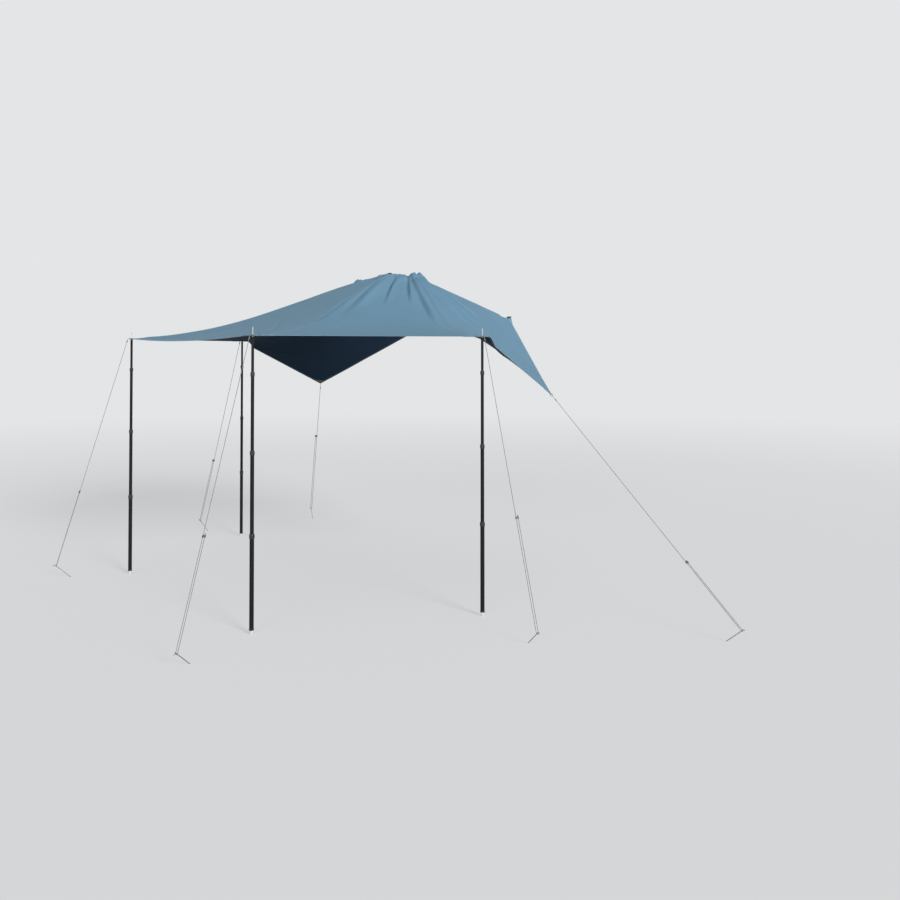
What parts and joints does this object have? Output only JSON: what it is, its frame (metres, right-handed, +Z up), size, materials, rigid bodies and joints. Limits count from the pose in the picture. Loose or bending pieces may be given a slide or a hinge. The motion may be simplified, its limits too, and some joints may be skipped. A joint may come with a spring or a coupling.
{
  "type": "vehicle side awning",
  "caption": "Guyed fabric side awning: a shaped sheet rising to a high attachment edge between two drop wings, on telescopic eyelet poles with twist collars, guy lines, sliders and pegs.",
  "frame": {"origin": "on the ground under the middle of the cloth, poles and hooks", "axes": "+X along the outer edge towards the front pole, +Y from the outer edge to the high crown edge, +Z up"},
  "size_m": [6.1151, 3.8922, 2.7715],
  "materials": {
    "cloth": "coated woven cloth, soft sheen",
    "pole": "black powder coat, satin",
    "collar": "matt moulded",
    "foot": "pale moulded",
    "eyelet": "plated",
    "cord": "braided cord",
    "slider": "moulded",
    "peg": "plain steel",
    "hook": "moulded"
  },
  "bodies": {
    "awning_top": {"canopy": "cloth", "rear_outer_eyelet": "eyelet", "front_outer_eyelet": "eyelet", "rear_inner_eyelet": "eyelet", "front_inner_eyelet": "eyelet", "rear_outer_guy": "cord", "rear_outer_guy_peg": "peg", "front_outer_guy": "cord", "front_outer_guy_peg": "peg", "rear_inner_guy": "cord", "rear_inner_guy_peg": "peg", "front_inner_guy": "cord", "front_inner_guy_peg": "peg", "rear_wing_guy": "cord", "rear_wing_guy_peg": "peg", "front_wing_guy": "cord", "front_wing_guy_peg": "peg", "crown_hook_centre": "hook", "crown_hook_rear": "hook", "crown_hook_front": "hook", "notch_hook_rear": "hook", "notch_hook_front": "hook"},
    "rear_outer_tip": {"rear_outer_pole_tip_tube": "pole"},
    "rear_outer_upper": {"rear_outer_pole_upper_tube": "pole"},
    "rear_outer_lower": {"rear_outer_pole_lower_tube": "pole"},
    "rear_outer_base": {"rear_outer_pole_base_tube": "pole", "rear_outer_pole_foot": "foot"},
    "rear_outer_upper_collar": {"rear_outer_pole_upper_collar": "collar"},
    "rear_outer_lower_collar": {"rear_outer_pole_lower_collar": "collar"},
    "rear_outer_base_collar": {"rear_outer_pole_base_collar": "collar"},
    "front_outer_tip": {"front_outer_pole_tip_tube": "pole"},
    "front_outer_upper": {"front_outer_pole_upper_tube": "pole"},
    "front_outer_lower": {"front_outer_pole_lower_tube": "pole"},
    "front_outer_base": {"front_outer_pole_base_tube": "pole", "front_outer_pole_foot": "foot"},
    "front_outer_upper_collar": {"front_outer_pole_upper_collar": "collar"},
    "front_outer_lower_collar": {"front_outer_pole_lower_collar": "collar"},
    "front_outer_base_collar": {"front_outer_pole_base_collar": "collar"},
    "rear_inner_tip": {"rear_inner_pole_tip_tube": "pole"},
    "rear_inner_upper": {"rear_inner_pole_upper_tube": "pole"},
    "rear_inner_lower": {"rear_inner_pole_lower_tube": "pole"},
    "rear_inner_base": {"rear_inner_pole_base_tube": "pole", "rear_inner_pole_foot": "foot"},
    "rear_inner_upper_collar": {"rear_inner_pole_upper_collar": "collar"},
    "rear_inner_lower_collar": {"rear_inner_pole_lower_collar": "collar"},
    "rear_inner_base_collar": {"rear_inner_pole_base_collar": "collar"},
    "front_inner_tip": {"front_inner_pole_tip_tube": "pole"},
    "front_inner_upper": {"front_inner_pole_upper_tube": "pole"},
    "front_inner_lower": {"front_inner_pole_lower_tube": "pole"},
    "front_inner_base": {"front_inner_pole_base_tube": "pole", "front_inner_pole_foot": "foot"},
    "front_inner_upper_collar": {"front_inner_pole_upper_collar": "collar"},
    "front_inner_lower_collar": {"front_inner_pole_lower_collar": "collar"},
    "front_inner_base_collar": {"front_inner_pole_base_collar": "collar"},
    "rear_outer_slider": {"rear_outer_guy_slider": "slider"},
    "front_outer_slider": {"front_outer_guy_slider": "slider"},
    "rear_inner_slider": {"rear_inner_guy_slider": "slider"},
    "front_inner_slider": {"front_inner_guy_slider": "slider"},
    "rear_wing_slider": {"rear_wing_guy_slider": "slider"},
    "front_wing_slider": {"front_wing_guy_slider": "slider"}
  },
  "joints": [
    {"name": "rear_outer_pole_swing", "type": "hinge", "parent": "awning_top", "child": "rear_outer_tip", "pos_m": [-1.115, -1.565, 2.10974], "axis": [-0.4918, -0.8707, 0], "range_deg": [-12, 12]},
    {"name": "rear_outer_upper_slide", "type": "slide", "parent": "rear_outer_tip", "child": "rear_outer_upper", "axis": [0, 0, 1], "range_m": [-0.26, 0.24]},
    {"name": "rear_outer_lower_slide", "type": "slide", "parent": "rear_outer_upper", "child": "rear_outer_lower", "axis": [0, 0, 1], "range_m": [0, 0.52]},
    {"name": "rear_outer_base_slide", "type": "slide", "parent": "rear_outer_lower", "child": "rear_outer_base", "axis": [0, 0, 1], "range_m": [0, 0.54]},
    {"name": "rear_outer_upper_twist", "type": "hinge", "parent": "rear_outer_upper", "child": "rear_outer_upper_collar", "pos_m": [-1.115, -1.565, 1.84], "axis": [0, 0, 1], "range_deg": [0, 120]},
    {"name": "rear_outer_lower_twist", "type": "hinge", "parent": "rear_outer_lower", "child": "rear_outer_lower_collar", "pos_m": [-1.115, -1.565, 1.28], "axis": [0, 0, 1], "range_deg": [0, 120]},
    {"name": "rear_outer_base_twist", "type": "hinge", "parent": "rear_outer_base", "child": "rear_outer_base_collar", "pos_m": [-1.115, -1.565, 0.69], "axis": [0, 0, 1], "range_deg": [0, 120]},
    {"name": "front_outer_pole_swing", "type": "hinge", "parent": "awning_top", "child": "front_outer_tip", "pos_m": [1.115, -1.565, 2.10974], "axis": [0.4043, -0.9146, 0], "range_deg": [-12, 12]},
    {"name": "front_outer_upper_slide", "type": "slide", "parent": "front_outer_tip", "child": "front_outer_upper", "axis": [0, 0, 1], "range_m": [-0.26, 0.24]},
    {"name": "front_outer_lower_slide", "type": "slide", "parent": "front_outer_upper", "child": "front_outer_lower", "axis": [0, 0, 1], "range_m": [0, 0.52]},
    {"name": "front_outer_base_slide", "type": "slide", "parent": "front_outer_lower", "child": "front_outer_base", "axis": [0, 0, 1], "range_m": [0, 0.54]},
    {"name": "front_outer_upper_twist", "type": "hinge", "parent": "front_outer_upper", "child": "front_outer_upper_collar", "pos_m": [1.115, -1.565, 1.84], "axis": [0, 0, 1], "range_deg": [0, 120]},
    {"name": "front_outer_lower_twist", "type": "hinge", "parent": "front_outer_lower", "child": "front_outer_lower_collar", "pos_m": [1.115, -1.565, 1.28], "axis": [0, 0, 1], "range_deg": [0, 120]},
    {"name": "front_outer_base_twist", "type": "hinge", "parent": "front_outer_base", "child": "front_outer_base_collar", "pos_m": [1.115, -1.565, 0.69], "axis": [0, 0, 1], "range_deg": [0, 120]},
    {"name": "rear_inner_pole_swing", "type": "hinge", "parent": "awning_top", "child": "rear_inner_tip", "pos_m": [-1.895, -0.045, 2.10974], "axis": [-0.9597, -0.2809, 0], "range_deg": [-12, 12]},
    {"name": "rear_inner_upper_slide", "type": "slide", "parent": "rear_inner_tip", "child": "rear_inner_upper", "axis": [0, 0, 1], "range_m": [-0.26, 0.24]},
    {"name": "rear_inner_lower_slide", "type": "slide", "parent": "rear_inner_upper", "child": "rear_inner_lower", "axis": [0, 0, 1], "range_m": [0, 0.52]},
    {"name": "rear_inner_base_slide", "type": "slide", "parent": "rear_inner_lower", "child": "rear_inner_base", "axis": [0, 0, 1], "range_m": [0, 0.54]},
    {"name": "rear_inner_upper_twist", "type": "hinge", "parent": "rear_inner_upper", "child": "rear_inner_upper_collar", "pos_m": [-1.895, -0.045, 1.84], "axis": [0, 0, 1], "range_deg": [0, 120]},
    {"name": "rear_inner_lower_twist", "type": "hinge", "parent": "rear_inner_lower", "child": "rear_inner_lower_collar", "pos_m": [-1.895, -0.045, 1.28], "axis": [0, 0, 1], "range_deg": [0, 120]},
    {"name": "rear_inner_base_twist", "type": "hinge", "parent": "rear_inner_base", "child": "rear_inner_base_collar", "pos_m": [-1.895, -0.045, 0.69], "axis": [0, 0, 1], "range_deg": [0, 120]},
    {"name": "front_inner_pole_swing", "type": "hinge", "parent": "awning_top", "child": "front_inner_tip", "pos_m": [1.895, -0.045, 2.10974], "axis": [0.961, -0.2764, 0], "range_deg": [-12, 12]},
    {"name": "front_inner_upper_slide", "type": "slide", "parent": "front_inner_tip", "child": "front_inner_upper", "axis": [0, 0, 1], "range_m": [-0.26, 0.24]},
    {"name": "front_inner_lower_slide", "type": "slide", "parent": "front_inner_upper", "child": "front_inner_lower", "axis": [0, 0, 1], "range_m": [0, 0.52]},
    {"name": "front_inner_base_slide", "type": "slide", "parent": "front_inner_lower", "child": "front_inner_base", "axis": [0, 0, 1], "range_m": [0, 0.54]},
    {"name": "front_inner_upper_twist", "type": "hinge", "parent": "front_inner_upper", "child": "front_inner_upper_collar", "pos_m": [1.895, -0.045, 1.84], "axis": [0, 0, 1], "range_deg": [0, 120]},
    {"name": "front_inner_lower_twist", "type": "hinge", "parent": "front_inner_lower", "child": "front_inner_lower_collar", "pos_m": [1.895, -0.045, 1.28], "axis": [0, 0, 1], "range_deg": [0, 120]},
    {"name": "front_inner_base_twist", "type": "hinge", "parent": "front_inner_base", "child": "front_inner_base_collar", "pos_m": [1.895, -0.045, 0.69], "axis": [0, 0, 1], "range_deg": [0, 120]},
    {"name": "rear_outer_slider_slide", "type": "slide", "parent": "awning_top", "child": "rear_outer_slider", "axis": [-0.141, -0.2419, -0.96], "range_m": [0, 0.63]},
    {"name": "front_outer_slider_slide", "type": "slide", "parent": "awning_top", "child": "front_outer_slider", "axis": [0.1329, -0.3099, -0.9414], "range_m": [0, 0.685]},
    {"name": "rear_inner_slider_slide", "type": "slide", "parent": "awning_top", "child": "rear_inner_slider", "axis": [-0.2784, -0.0775, -0.9573], "range_m": [0, 0.675]},
    {"name": "front_inner_slider_slide", "type": "slide", "parent": "awning_top", "child": "front_inner_slider", "axis": [0.3393, -0.1014, -0.9352], "range_m": [0, 0.735]},
    {"name": "rear_wing_slider_slide", "type": "slide", "parent": "awning_top", "child": "rear_wing_slider", "axis": [-0.3279, 0.1398, -0.9343], "range_m": [0, 0.93]},
    {"name": "front_wing_slider_slide", "type": "slide", "parent": "awning_top", "child": "front_wing_slider", "axis": [0.7587, -0.0384, -0.6503], "range_m": [0, 0.54]}
  ]
}
